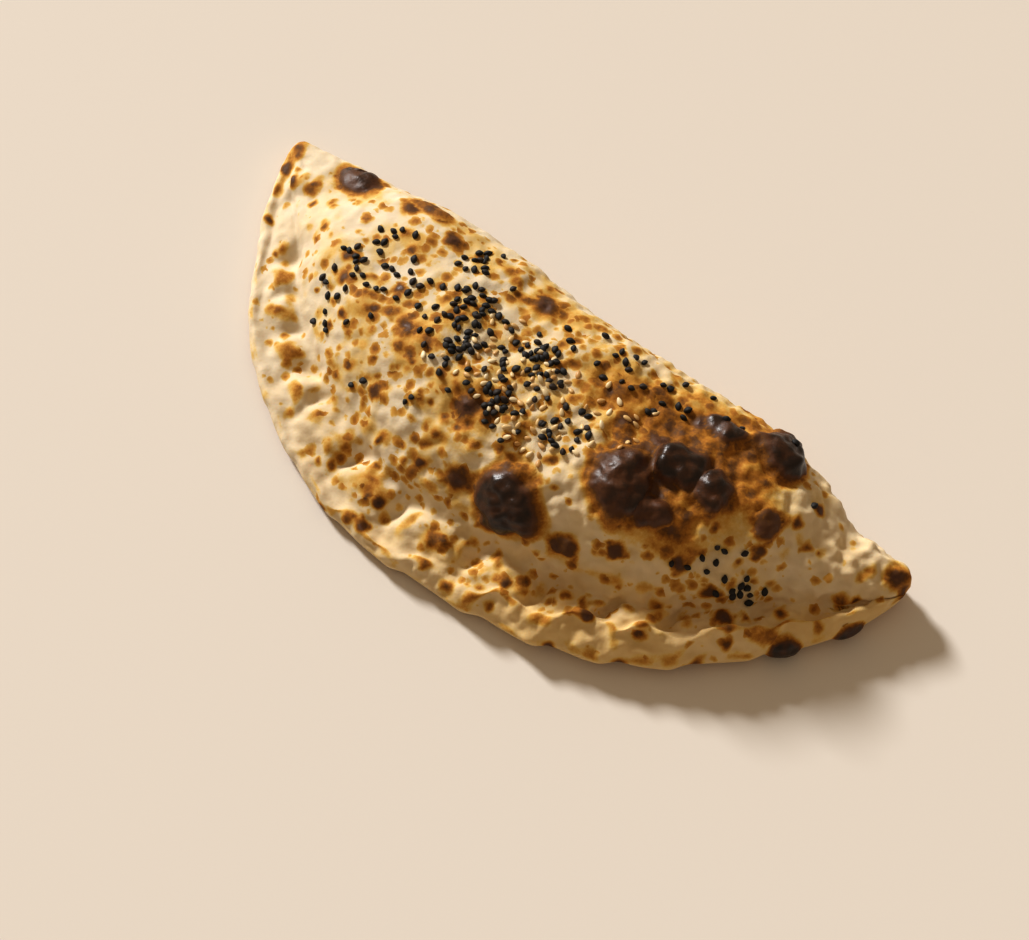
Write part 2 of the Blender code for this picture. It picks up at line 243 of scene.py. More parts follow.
# Blisters: (along, across, radius along, radius across, height, how dark they baked).
BLISTERS = (
    (0.556, 0.348, 0.0106, 0.0102, 0.0050, 0.95),
    (0.643, 0.495, 0.0098, 0.0106, 0.0048, 0.88),
    (0.685, 0.562, 0.0080, 0.0072, 0.0045, 0.97),
    (0.729, 0.543, 0.0064, 0.0064, 0.0036, 0.92),
    (0.684, 0.460, 0.0066, 0.0054, 0.0026, 0.84),
    (0.777, 0.672, 0.0088, 0.0086, 0.0050, 0.98),
    (0.702, 0.647, 0.0062, 0.0044, 0.0022, 0.97),
    (0.127, 0.632, 0.0080, 0.0054, 0.0024, 0.88),
    (0.625, 0.332, 0.0044, 0.0033, 0.0014, 0.70),
    (0.801, 0.523, 0.0044, 0.0044, 0.0016, 0.74),
    (0.240, 0.680, 0.0074, 0.0036, 0.0014, 0.56),
    (0.884, 0.016, 0.0046, 0.0040, 0.0018, 0.97),
    (0.951, 0.005, 0.0046, 0.0034, 0.0016, 0.97),
)
BLISTER_SINK = 0.5  # share of each ball's half height that is sunk in the crust
BLISTER_BLEND = 0.0005  # how softly a dome meets the crust
BLISTER_WOBBLE = (0.22, 0.8)  # unevenness of a dome's outline and the size of its humps, of the radius
BLISTER_SEED = 60  # of the first dome's noise
BLISTER_SKIN = (0.0026, 0.11, 0.16)  # size of its wrinkles, and their share of the height and of the colour
BLISTER_EDGE = (0.76, 1.05)  # shares of the radius between which the char thins out
BLISTER_EDGE_PALER = 0.46  # share of the char that the edge lacks
BLISTER_HALO = (1.02, 1.34)  # shares of the radius between which the browned dough round it fades
BLISTER_HALO_DARKNESS = 0.7  # of the dome's own

# Toast marks: (along, across, radius, how dark).
MARKS = (
    (0.224, 0.653, 0.0033, 0.75), (0.264, 0.671, 0.0027, 0.85), (0.300, 0.645, 0.0027, 0.90),
    (0.253, 0.599, 0.0015, 0.45), (0.280, 0.586, 0.0015, 0.60), (0.234, 0.480, 0.0018, 0.80),
    (0.251, 0.436, 0.0021, 0.80), (0.234, 0.353, 0.0012, 0.70), (0.261, 0.376, 0.0015, 0.45),
    (0.310, 0.536, 0.0018, 0.90), (0.283, 0.385, 0.0015, 0.80), (0.311, 0.460, 0.0015, 0.70),
    (0.347, 0.497, 0.0024, 0.65), (0.327, 0.490, 0.0018, 0.50), (0.022, 0.517, 0.0024, 0.60),
    (0.035, 0.214, 0.0027, 0.60), (0.065, 0.311, 0.0018, 0.85), (0.056, 0.095, 0.0021, 0.60),
    (0.093, 0.113, 0.0015, 0.80), (0.142, 0.165, 0.0012, 0.60), (0.210, 0.543, 0.0012, 0.40),
    (0.806, 0.527, 0.0030, 0.95), (0.846, 0.613, 0.0021, 0.85), (0.830, 0.556, 0.0021, 0.75),
    (0.806, 0.437, 0.0018, 0.70), (0.856, 0.514, 0.0015, 0.40), (0.807, 0.201, 0.0024, 0.60),
    (0.817, 0.098, 0.0018, 0.50), (0.861, 0.192, 0.0018, 0.70), (0.865, 0.065, 0.0024, 0.55),
    (0.975, 0.538, 0.0036, 0.75), (0.995, 0.386, 0.0024, 0.60), (0.940, 0.306, 0.0018, 0.70),
    (0.920, 0.306, 0.0024, 0.60), (0.910, 0.073, 0.0018, 0.50), (0.820, 0.066, 0.0018, 0.80),
    (0.672, 0.359, 0.0024, 0.85), (0.736, 0.368, 0.0024, 0.90), (0.776, 0.310, 0.0021, 0.70),
    (0.732, 0.279, 0.0021, 0.55), (0.682, 0.145, 0.0021, 0.85), (0.653, 0.225, 0.0015, 0.55),
    (0.733, 0.095, 0.0021, 0.60), (0.729, 0.000, 0.0021, 0.85), (0.799, 0.000, 0.0024, 0.70),
    (0.801, 0.208, 0.0018, 0.60), (0.826, 0.196, 0.0015, 0.60), (0.514, 0.186, 0.0027, 0.60),
    (0.525, 0.198, 0.0012, 0.60), (0.663, 0.000, 0.0021, 0.95), (0.596, 0.164, 0.0015, 0.80),
    (0.585, 0.170, 0.0015, 0.50), (0.595, 0.059, 0.0018, 0.60), (0.673, 0.185, 0.0018, 0.60),
    (0.551, 0.059, 0.0021, 0.55), (0.522, 0.087, 0.0018, 0.50), (0.449, 0.193, 0.0018, 0.90),
    (0.437, 0.182, 0.0012, 0.60), (0.459, 0.327, 0.0021, 0.90), (0.410, 0.306, 0.0012, 0.80),
    (0.435, 0.333, 0.0012, 0.60), (0.385, 0.166, 0.0015, 0.60), (0.405, 0.004, 0.0015, 0.80),
    (0.435, 0.068, 0.0018, 0.60), (0.452, 0.097, 0.0024, 0.80), (0.464, 0.465, 0.0036, 0.75),
    (0.488, 0.484, 0.0024, 0.70), (0.375, 0.359, 0.0024, 0.75), (0.331, 0.343, 0.0018, 0.50),
    (0.499, 0.342, 0.0040, 0.90), (0.438, 0.668, 0.0038, 0.88), (0.411, 0.650, 0.0021, 0.40),
    (0.675, 0.637, 0.0027, 0.90), (0.650, 0.584, 0.0024, 0.80), (0.387, 0.507, 0.0024, 0.60),
)
MARK_HEIGHT = 0.00045  # how far a toasted spot stands up
SPOT_EDGE = 2.6  # how sharply a spot ends
SPOT_WARP = (0.0032, 0.0011)  # size and reach of the noise that makes every spot uneven
SPOT_WARP_SEEDS = (11, 12, 13)

# Fine unevenness of the dough: (size, height), weaker at the sharp end and stronger at the puffed one.
WRINKLES = (
    (0.0062, 0.0007),
    (0.0030, 0.0005),
)
WRINKLE_SEED = 51
WRINKLE_STRENGTHS = (0.7, 2.0)

# Broad toasting round the blisters: (along, across, radius, how dark).
AMBER_PATCHES = (
    (0.560, 0.608, 0.0070, 0.26),
    (0.605, 0.610, 0.0100, 0.34),
    (0.646, 0.640, 0.0110, 0.38),
    (0.632, 0.572, 0.0100, 0.34),
    (0.700, 0.630, 0.0110, 0.42),
    (0.745, 0.640, 0.0110, 0.42),
    (0.726, 0.746, 0.0070, 0.36),
    (0.693, 0.560, 0.0120, 0.36),
    (0.760, 0.560, 0.0110, 0.34),
    (0.670, 0.480, 0.0100, 0.36),
    (0.722, 0.450, 0.0090, 0.34),
    (0.715, 0.395, 0.0050, 0.30),
    (0.127, 0.625, 0.0085, 0.22),
    (0.438, 0.668, 0.0070, 0.30),
    (0.474, 0.471, 0.0070, 0.30),
    (0.375, 0.480, 0.0070, 0.22),
)
AMBER_MOST = 0.46  # where patches overlap, they darken no further than this
AMBER_EDGE = 3.0  # how sharply a patch ends
AMBER_MOTTLE = (0.0045, 0.9, 0.8)  # size of its darker and paler parts, their middle and how far they swing
AMBER_SEED = 21

# The underside browned evenly on the hot floor of the oven.
UNDER_TOAST = (0.20, 0.35)  # least, and how much more where it is darkest
UNDER_MOTTLE = 0.006
UNDER_SEED = 41
UNDER_END = 0.975  # across, where the rim's own colour begins

# The oven toasts what stands proud of the dough round it.
LEVEL_PASSES = 60  # smoothing passes that give the dough's general level
PROUD_HEIGHTS = (0.0000, 0.0007)  # from the first touch of colour to full toast
PROUD_DARKNESS = 0.42
PROUD_PATCHES = (0.005, -0.40, 0.30)  # size of the patches, and the noise between which they fade in
PROUD_SEED = 31

# Where the untoasted dough is golden: partly its own baking, and partly painted warm shade on the puffed half
# and the crimped side, which turn away from the light.
GOLDEN_START, GOLDEN_FULL = 0.22, 0.70  # along
GOLDEN_RIM = (0.10, 0.34)  # across
GOLDEN_RIM_SHARE = 0.6  # of the gold that the rim lacks
GOLDEN_BROWNED = 0.35  # how much browning adds to the gold
GOLDEN_CLOUDS = (0.012, 0.35)  # size and depth
GOLDEN_SEED = 61

# Where fine flecks lie thick: (along, across, reach along, reach across, how thick).
FLECK_PATCHES = (
    (0.30, 0.50, 0.16, 0.16, 0.9),
    (0.42, 0.48, 0.14, 0.20, 0.9),
    (0.57, 0.60, 0.16, 0.14, 1.0),
    (0.22, 0.64, 0.14, 0.07, 0.8),
    # The narrow band along the fold is partly the fold's own golden toasting and partly painted shade,
    # darkening the strip that turns away from the light.
    (0.50, 0.66, 0.36, 0.05, 0.8),
    (0.78, 0.36, 0.14, 0.20, 0.6),
    (0.50, 0.20, 0.30, 0.10, 0.6),
)

# Toasted freckles all over the top, drawn by chance.
FRECKLE_COUNT = 300
FRECKLE_SEED = 23
FRECKLE_PLACE = (0.46, 0.25, 0.42, 0.15)  # middle and spread along, middle and spread across
FRECKLE_RADII = (0.0007, 0.0020)
FRECKLE_DARKNESS = (0.14, 0.50)
FRECKLE_ALONG = (0.02, 0.98)

# Seeds lie in patches: (along, across, spread along, spread across, share of the seeds).
SEED_PATCHES = (
    (0.247, 0.475, 0.016, 0.035, 0.075),
    (0.246, 0.568, 0.012, 0.020, 0.020),
    (0.256, 0.357, 0.022, 0.030, 0.050),
    (0.304, 0.524, 0.018, 0.040, 0.060),
    (0.348, 0.652, 0.016, 0.014, 0.060),
    (0.341, 0.604, 0.010, 0.015, 0.025),
    (0.391, 0.583, 0.015, 0.026, 0.130),
    (0.411, 0.547, 0.010, 0.018, 0.060),
    (0.421, 0.498, 0.013, 0.020, 0.060),
    (0.357, 0.533, 0.020, 0.030, 0.030),
    (0.491, 0.597, 0.018, 0.026, 0.130),
    (0.455, 0.582, 0.020, 0.030, 0.050),
    (0.486, 0.518, 0.022, 0.035, 0.045),
    (0.508, 0.463, 0.015, 0.030, 0.025),
    (0.566, 0.529, 0.014, 0.024, 0.080),
    (0.583, 0.631, 0.030, 0.025, 0.045),
    (0.417, 0.399, 0.010, 0.014, 0.020),
    (0.355, 0.341, 0.018, 0.012, 0.020),
    (0.546, 0.673, 0.020, 0.012, 0.015),
    (0.639, 0.658, 0.030, 0.018, 0.025),
    (0.723, 0.683, 0.030, 0.014, 0.015),
    (0.808, 0.314, 0.012, 0.020, 0.040),
    (0.777, 0.405, 0.014, 0.020, 0.030),
    (0.749, 0.358, 0.014, 0.020, 0.012),
    (0.841, 0.640, 0.014, 0.020, 0.010),
)
SEED_COUNT = 190
SEED_SEED = 11  # of the random draw
SEED_GAP = 0.0021  # least distance between the middles of two seeds
NIGELLA_SIZE = (0.0013, 0.0009, 0.0008)  # half of its length, width and thickness

# More nigella seeds fell in clumps, close together.
CLUMP_PATCHES = (
    (0.388, 0.583, 0.010, 0.020, 0.26),
    (0.404, 0.556, 0.009, 0.016, 0.16),
    (0.415, 0.540, 0.008, 0.014, 0.08),
    (0.494, 0.590, 0.012, 0.020, 0.20),
    (0.485, 0.520, 0.010, 0.014, 0.08),
    (0.549, 0.523, 0.010, 0.014, 0.12),
    (0.241, 0.470, 0.008, 0.014, 0.08),
    (0.810, 0.322, 0.009, 0.014, 0.05),
    (0.340, 0.648, 0.008, 0.008, 0.08),
    (0.466, 0.588, 0.014, 0.016, 0.12),
)
CLUMP_COUNT = 66
CLUMP_SEED = 15
CLUMP_GAP = 0.0015

# Sesame seeds fell among them.
SESAME_PATCHES = (
    (0.505, 0.560, 0.022, 0.026, 0.35),
    (0.535, 0.500, 0.024, 0.030, 0.40),
    (0.590, 0.565, 0.020, 0.024, 0.20),
    (0.440, 0.560, 0.022, 0.030, 0.25),
)
SESAME_COUNT = 100
SESAME_SEED = 4
SESAME_SIZE = (0.0013, 0.0008, 0.0005)

# How the grains differ and lie.
GRAIN_GROWTH = (0.85, 1.15)
GRAIN_LEAN = (-0.3, 0.3)  # radians
GRAIN_RISE = 0.45  # height of its middle over the crust, of its half thickness
GRAIN_DROP = 0.020  # height over the crust that a grain falls from
NIGELLA_DRAW, SESAME_DRAW = 6, 7  # of the random draws
GRAIN_ROUNDS = 3  # subdivisions of a grain's mesh

# The dough's small bubbles toast first, as flecks.
BUBBLE_SPACING = 0.0034
BUBBLE_BEND = (0.0020, 0.0018)  # size and reach of the noise that bends the bubbles' outlines
FLECK_GAIN = 0.46  # how much likelier a bubble toasts where flecks lie thick
FLECK_CHANCES = (0.56, 1.10)  # the chance at which a bubble starts to toast, and at which it toasts most
FLECK_RADIUS = 0.62  # of the largest flecks, of the spacing
FLECK_GOLD = (-0.10, 0.22, 0.28)  # depths in a fleck where its gold starts and is full, and how toasted it is
FLECK_BROWN = (0.20, 0.52, 0.17)  # the same for its browner middle
HAZE = (0.40, 0.64, 0.17)  # noise between which a gold haze fades in among the flecks, and how toasted it is
HAZE_SIZE = 0.011

# The dough's finish.
PALE_END = 0.20  # how toasted the dough is when it has lost its pale colour
CRUMB_SIZE = 0.0011
CRUMB_DEPTH = 0.8  # how far the crumb darkens and lightens half-baked dough
CHAR = (0.66, 0.96)  # how toasted the dough is where it starts to shine, and where it shines most
CHAR_ROUGHNESS = (0.80, 0.34)
LIGHT_SINKS = 0.002  # how far light goes into dough
FLOUR_SIZE = 0.0009  # of the floury roughness of its skin
FLOUR_DEPTH = 0.00035
FLOUR_STRENGTH = 0.4

# The crust's mesh.
RINGS = 420
SEGMENTS = 228
SLOPE_STEP = 0.004  # shares between the places that a slope is read from
SEAM = 1e-6  # share within which a point lies on the seam of the sphere
SOFTENINGS = 8  # passes that round off every crease of the dough by about a millimetre
SOFTENING = 0.5  # how far a pass moves each point towards the middle of its neighbours
SLACK_RIM = (0.34, 0.55)  # stretch of the length along which the crimps turn from slack to sharp
SLACK_ACROSS = (0.30, 0.45)  # where the crimps end and the smooth top begins
SLACKNESS = 0.10  # how far slack crimps sink towards the dough's general level

# How the crust's faces share out the way round: more of them lie on the top than beneath.
AROUND = (0.00, 0.08, 0.28, 0.58, 0.88, 0.94, 0.97, 1.00)
ACROSS = (0.00, LIP_END, FLANGE_END, CROWN_END, FOLD_END, FOOT_END, BASE_END, 1.00)


def through(knots, at):
    """Read a smooth curve at some stations; each knot is a station followed by its values."""
    knots = np.array(knots)
    stations, values = knots[:, 0], knots[:, 1:]
    slopes = np.gradient(values, stations, axis=0)
    start = np.clip(np.searchsorted(stations, at, side="right") - 1, 0, len(stations) - 2)
    gap = stations[start + 1] - stations[start]
    t = ((at - stations[start]) / gap)[:, None]
    gap = gap[:, None]
    return (
        values[start] * (1 + 2 * t) * (1 - t) ** 2
        + values[start + 1] * t**2 * (3 - 2 * t)
        + slopes[start] * gap * t * (1 - t) ** 2
        - slopes[start + 1] * gap * t**2 * (1 - t)
    )


def smooth(low, high, value):
    """Rise from 0 at low to 1 at high, gently at both ends."""
    t = np.clip((value - low) / (high - low), 0, 1)
    return t * t * (3 - 2 * t)


def share(low, high, value):
    """Rise evenly from 0 at low to 1 at high."""
    return np.clip((value - low) / (high - low), 0, 1)


def with_lengths(course):
    """Put in front of each point of a course its distance along it."""
    points = np.array(course)
    steps = np.linalg.norm(np.diff(points, axis=0), axis=1)
    return np.column_stack([np.concatenate([[0], np.cumsum(steps)]), points])


def on_course(course, along):
    """The (x, y) place on a course at a share of its length."""
    knots = with_lengths(course)
    return through(knots, along * knots[-1, 0])


def rim_length():
    return with_lengths(RIM_COURSE)[-1, 0]


def section(across, width, crown, rim, lip):
    """Depth in from the rim's edge and height, at a share of the way round a section."""
    lip = np.minimum(lip, LIP_SHARE * width)
    flange = np.minimum(FLANGE_DEPTH, FLANGE_SHARE * width)
    top = flange + CROWN_PLACE * (width - flange)
    foot = np.minimum(FOLD_FOOT, FOLD_FOOT_SHARE * width)
    edge = EDGE_HEIGHT_SHARE * rim
    ledge = np.minimum(LEDGE_HEIGHT, LEDGE_SHARE * crown)
    fold = np.maximum(FOLD_HEIGHT_SHARE * crown, edge)
    quarter = math.pi / 2

    over_lip = quarter * share(0, LIP_END, across)
    on_flange = share(LIP_END, FLANGE_END, across)
    rising = share(FLANGE_END, CROWN_END, across)
    power = RISE_POWER + RISE_SOFTNESS * (1 - smooth(0, RISE_FOOT, rising))
    falling = quarter * share(CROWN_END, FOLD_END, across)
    tucking = quarter * share(FOLD_END, FOOT_END, across)
    beneath = share(FOOT_END, BASE_END, across)
    under_lip = quarter * share(BASE_END, 1, across)

    depth = (
        lip * (1 - np.cos(over_lip))
        + (flange - lip) * on_flange
        + (top - flange) * rising
        + (width - top) * np.sin(falling)
        - foot * (1 - np.cos(tucking))
        - (width - foot - lip) * beneath
        - lip * np.sin(under_lip)
    )
    height = (
        edge
        + (rim - edge) * np.sin(over_lip)
        - (rim - ledge) * on_flange
        + (crown - ledge) * np.sin(quarter * rising) ** power
        - (crown - fold) * (1 - np.cos(falling)) ** FALL_POWER
        - fold * np.sin(tucking)
        + EDGE_LIFT * smooth(EDGE_LIFT_START, 1, beneath)
        + (edge - EDGE_LIFT) * (1 - np.cos(under_lip))
    )
    return depth, height


def waves(points, lengths, seed):
    """Slow waves in all directions, between about -1 and 1."""
    draw = np.random.default_rng(seed)
    total = np.zeros(len(points))
    for _ in range(WAVES):
        heading = draw.normal(size=3)
        heading /= np.linalg.norm(heading)
        length = draw.uniform(*lengths)
        total += np.sin(2 * math.pi * (points @ heading) / length + draw.uniform(0, 2 * math.pi))
    return total / math.sqrt(WAVES)


def crimping(along, depth):
    """Height that the fingers added to or took from the rim, and how far its edge bulges out."""
    unrolled = np.column_stack([along * rim_length(), depth, np.zeros(len(depth))])
    distance = unrolled[:, 0] + CRIMP_DRIFT * waves(unrolled, DRIFT_LENGTHS, DRIFT_SEEDS[0])
    depth = depth + CRIMP_DRIFT * waves(unrolled, DRIFT_LENGTHS, DRIFT_SEEDS[1])
    distance -= through(CRIMP_SLANTS, along)[:, 0] * (depth - SLOT_PLACE)
    crimps, slots = np.array(CRIMPS).T
    phase = np.interp(distance, crimps, np.arange(len(crimps)))
    away = ((distance[:, None] - crimps) / SLOT_WIDTH) ** 2
    slot = (np.exp(-away) @ slots) * np.exp(-(((depth - SLOT_PLACE) / SLOT_REACH) ** 2))
    lobe = np.sqrt(np.abs(np.sin(math.pi * phase))) * np.exp(-(((depth - LOBE_PLACE) / LOBE_REACH) ** 2))
    trough = np.exp(-(((depth - TROUGH_PLACE) / TROUGH_REACH) ** 2)) * (1 - smooth(*TROUGH_END, along))
    turn = (phase - FOLD_START) % 1
    fold = smooth(0, FOLD_STEP, turn) * (1 - turn)
    swing = fold - FOLD_MIDDLE
    ridge_place = through(RIDGE_DEPTHS, along)[:, 0] + through(RIDGE_SWINGS, along)[:, 0] * swing
    ridge = np.exp(-(((depth - ridge_place) / RIDGE_WIDTH) ** 2)) * (RIDGE_LEAST + RIDGE_GAIN * fold)
    height = through(LOBE_HEIGHTS, along)[:, 0] * lobe - slot - TROUGH_DEPTH * trough
    height += through(RIDGE_HEIGHTS, along)[:, 0] * ridge
    bulge = -through(EDGE_BULGES, along)[:, 0] * swing * (1 - smooth(*EDGE_REACH, depth))
    return height, bulge


def crust_points(along, across):
    """Points of the crust's surface, without its blisters and seeds."""
    along, across = np.broadcast_arrays(np.atleast_1d(along), np.atleast_1d(across))
    rim_place = on_course(RIM_COURSE, along)
    fold_place = on_course(FOLD_COURSE, along)
    inward = fold_place - rim_place
    width = np.linalg.norm(inward, axis=1)
    inward /= width[:, None]
    crown = through(CROWN, along)[:, 0]
    rim = through(RIM_THICKNESS, along)[:, 0]
    depth, height = section(across, width, crown, rim, through(LIP_DEPTHS, along)[:, 0])

    on_top = smooth(0.0, RIM_START, across) * (1 - smooth(FOLD_END, FOOT_END, across))
    pressed, bulge = crimping(along, depth)
    height += pressed * on_top * smooth(*TIP_FADE, along) * (1 - smooth(*CRIMP_INNER_FADE, depth / width))
    depth -= bulge

    ends = np.array(TIP_LENGTHS) / rim_length()
    from_tip = np.minimum(np.minimum(along / ends[0], (1 - along) / ends[1]), 1)
    closing = np.sqrt(np.maximum(1 - (1 - from_tip) ** 2, 0))
    depth = width / 2 + (depth - width / 2) * closing
    middle = rim / 2
    height = middle + (height - middle) * closing

    places = rim_place + inward * depth[:, None]
    points = np.column_stack([places, height])
    lumps = LUMP_HEIGHT * waves(points, LUMP_LENGTHS, LUMP_SEED) * smooth(*LUMP_LIFT, height)
    points[:, 2] += lumps * on_top * closing
    return points


def frame_on_crust(along, across):
    """Matrix that lays X along the crust, Y across it and Z out of it, at one place."""
    ahead, beside = along + SLOPE_STEP, across + SLOPE_STEP
    place, ahead, beside = crust_points([along, ahead, along], [across, across, beside])
    out = np.cross(ahead - place, beside - place)
    out = Vector(out if out[2] > 0 or across < LIP_END else -out).normalized()
    forward = Vector(ahead - place)
    forward = (forward - out * forward.dot(out)).normalized()
    turn = Matrix((forward, out.cross(forward), out)).transposed()
    return Matrix.Translation(Vector(place)) @ turn.to_4x4()


def moved_by(points, matrix):
    """The points after a 4 x 4 matrix has moved them."""
    matrix = np.array(matrix)
    return points @ matrix[:3, :3].T + matrix[:3, 3]


NOISE_STEP = (17.3, 5.1, 11.7)  # from one seed's noise to the next


def noise_at(points, size, seed):
    """Smooth noise between about -1 and 1, with humps of about the given size."""
    start = Vector([seed * step for step in NOISE_STEP])
    return np.array([noise.noise(Vector(point) / size + start) for point in points])


def raise_blisters(points, toast):
    """Lift the crust onto each blister's dome, and darken it."""
    wobble_height, wobble_size = BLISTER_WOBBLE
    wrinkle_size, wrinkle_height, wrinkle_darkness = BLISTER_SKIN
    widen = 1 / math.sqrt(1 - BLISTER_SINK**2)
    for seed, blister in enumerate(BLISTERS, BLISTER_SEED):
        along, across, reach_along, reach_across, height, darkness = blister
        place = frame_on_crust(along, across)
        reach = max(reach_along, reach_across)
        far = np.linalg.norm(points - np.array(place.translation), axis=1)
        near = np.flatnonzero(far < 2 * reach)  # well past the halo
        local = moved_by(points[near], place.inverted())
        wobble = noise_at(points[near], wobble_size * reach, seed)
        skin = noise_at(points[near], wrinkle_size, seed)
        radius = np.hypot(local[:, 0] / reach_along, local[:, 1] / reach_across)
        radius *= 1 + wobble_height * wobble

        tall = height / (1 - BLISTER_SINK)
        dome = tall * (np.sqrt(np.maximum(1 - (radius / widen) ** 2, 0)) - BLISTER_SINK)
        dome += wrinkle_height * height * skin
        dome = np.where(radius < widen, dome, local[:, 2] - 1)
        on_dome = dome > local[:, 2]
        gap = np.abs(dome - local[:, 2])
        meet = BLISTER_BLEND * np.maximum(1 - gap / BLISTER_BLEND, 0) ** 2 / 4
        local[:, 2] = np.maximum(dome, local[:, 2]) + meet
        points[near] = moved_by(local, place)

        baked = darkness * (1 + wrinkle_darkness * skin)
        baked *= 1 - BLISTER_EDGE_PALER * smooth(*BLISTER_EDGE, radius)
        baked *= 1 - smooth(*BLISTER_HALO, radius)
        round_it = 1 - (1 - toast[near]) * (1 - BLISTER_HALO_DARKNESS * baked)
        toast[near] = np.where(on_dome, baked, round_it)


def toast_spots(points, spots, toast, edge):
    """Darken soft-edged spots; spots is a list of (along, across, radius, darkness)."""
    centres = crust_points([spot[0] for spot in spots], [spot[1] for spot in spots])
    for centre, (_, _, radius, darkness) in zip(centres, spots):
        far = np.linalg.norm(points - centre, axis=1) / radius
        toast[:] = 1 - (1 - toast) * (1 - darkness * np.exp(-(far**edge)))


def freckles():
    """Small spots drawn by chance: (along, across, radius, how dark)."""
    draw = np.random.default_rng(FRECKLE_SEED)
    middle_along, spread_along, middle_across, spread_across = FRECKLE_PLACE
    made = []
    while len(made) < FRECKLE_COUNT:
        along = draw.normal(middle_along, spread_along)
        across = draw.normal(middle_across, spread_across)
        radius = draw.uniform(*FRECKLE_RADII)
        darkness = draw.uniform(*FRECKLE_DARKNESS)
        if FRECKLE_ALONG[0] < along < FRECKLE_ALONG[1] and LIP_END < across < FOLD_END:
            made.append((along, across, radius, darkness))
    return made


def fleck_density(along, across):
    """How thick the fine flecks lie, from 0 to 1."""
    bare_share = np.ones(len(along))
    for middle_along, middle_across, reach_along, reach_across, density in FLECK_PATCHES:
        far = np.hypot((along - middle_along) / reach_along, (across - middle_across) / reach_across)
        bare_share *= 1 - density * np.exp(-(far**2))
    return 1 - bare_share


def add_floats(mesh, name, values):
    mesh.attributes.new(name, "FLOAT", "POINT").data.foreach_set("value", values.astype(np.float32))


def softened(mesh, points, passes):
    """The points after each has moved towards the middle of its neighbours, in so many passes."""
    bm = bmesh.new()
    bm.from_mesh(mesh)
    for vert, point in zip(bm.verts, points):
        vert.co = point
    for _ in range(passes):
        bmesh.ops.smooth_vert(
            bm, verts=bm.verts, factor=SOFTENING, use_axis_x=True, use_axis_y=True, use_axis_z=True
        )
    rounded = np.array([vert.co for vert in bm.verts])
    bm.free()
    return rounded


def crust_blank():
    """A UV sphere whose poles become the tips and whose rings become the sections.

    With it come the shares along and across at which each of its points will lie.
    """
    bm = bmesh.new()
    bmesh.ops.create_uvsphere(bm, u_segments=SEGMENTS, v_segments=RINGS, radius=1.0)
    mesh = bpy.data.meshes.new("crust")
    bm.to_mesh(mesh)
    bm.free()
    places = np.empty(len(mesh.vertices) * 3, np.float32)
    mesh.vertices.foreach_get("co", places)
    places = places.reshape(-1, 3).astype(float)
    along = np.arccos(np.clip(places[:, 2], -1, 1)) / math.pi
    around = (np.arctan2(places[:, 1], places[:, 0]) / (2 * math.pi)) % 1.0
    around[around > 1 - SEAM] = 0
    return mesh, along, np.interp(around, AROUND, ACROSS)


def shape_to(mesh, points):
    mesh.vertices.foreach_set("co", points.astype(np.float32).ravel())
    mesh.update()


def slacken(bare, level, along, across):
    """Let the crimps sink towards the dough's general level along the rim's slack stretch."""
    slack = SLACKNESS * (1 - smooth(*SLACK_RIM, along)) * smooth(*TIP_FADE, along)
    slack *= 1 - smooth(*SLACK_ACROSS, across)
    bare += slack[:, None] * (level - bare)


def spot_toast(bare):
    """How toasted the amber patches and the spots leave the dough, and how much of it the spots are."""
    warp_size, warp_reach = SPOT_WARP
    warps = [noise_at(bare, warp_size, seed) for seed in SPOT_WARP_SEEDS]
    warped = bare + warp_reach * np.column_stack(warps)
    toast = np.zeros(len(bare))
    toast_spots(warped, AMBER_PATCHES, toast, AMBER_EDGE)
    mottle_size, mottle_middle, mottle_swing = AMBER_MOTTLE
    mottle = mottle_middle + mottle_swing * noise_at(bare, mottle_size, AMBER_SEED)
    toast = np.minimum(toast, AMBER_MOST) * mottle
    spots = np.zeros(len(bare))
    toast_spots(warped, MARKS, spots, SPOT_EDGE)
    toast_spots(warped, freckles(), spots, SPOT_EDGE)
    return 1 - (1 - toast) * (1 - spots), spots


def under_toast(bare, across):
    under = smooth(FOLD_END, FOOT_END, across) * (1 - smooth(UNDER_END, 1.0, across))
    mottle = 0.5 + 0.5 * noise_at(bare, UNDER_MOTTLE, UNDER_SEED)
    return under * (UNDER_TOAST[0] + UNDER_TOAST[1] * mottle)


def outward_of(mesh, points):
    """The way out of the crust at each point, with the mesh's faces turned that way too."""
    outward = np.empty(len(points) * 3, np.float32)
    mesh.vertices.foreach_get("normal", outward)
    outward = outward.reshape(-1, 3)
    if (outward * (points - points.mean(0))).sum() < 0:
        mesh.flip_normals()
        outward = -outward
    return outward


def proud_toast(bare, level, outward):
    """How far the oven browned what stands proud, in patches."""
    proud = ((bare - level) * outward).sum(1)
    patch_size, patch_start, patch_full = PROUD_PATCHES
    patchy = smooth(patch_start, patch_full, noise_at(bare, patch_size, PROUD_SEED))
    return PROUD_DARKNESS * smooth(*PROUD_HEIGHTS, proud) * patchy


def wrinkling(bare, along):
    weak, strong = WRINKLE_STRENGTHS
    strength = weak + (strong - weak) * smooth(GOLDEN_START, GOLDEN_FULL, along)
    return strength * sum(height * noise_at(bare, size, WRINKLE_SEED) for size, height in WRINKLES)


def gold_of(bare, along, across, browned):
    """How golden the untoasted dough is, from 0 to 1."""
    cloud_size, cloud_depth = GOLDEN_CLOUDS
    # Painted warm shade in part: more gold towards the puffed tip and on the crimped side, less on the top.
    golden = smooth(GOLDEN_START, GOLDEN_FULL, along) * (1 - GOLDEN_RIM_SHARE * smooth(*GOLDEN_RIM, across))
    golden += GOLDEN_BROWNED * browned + cloud_depth * noise_at(bare, cloud_size, GOLDEN_SEED)
    return np.clip(golden, 0, 1)


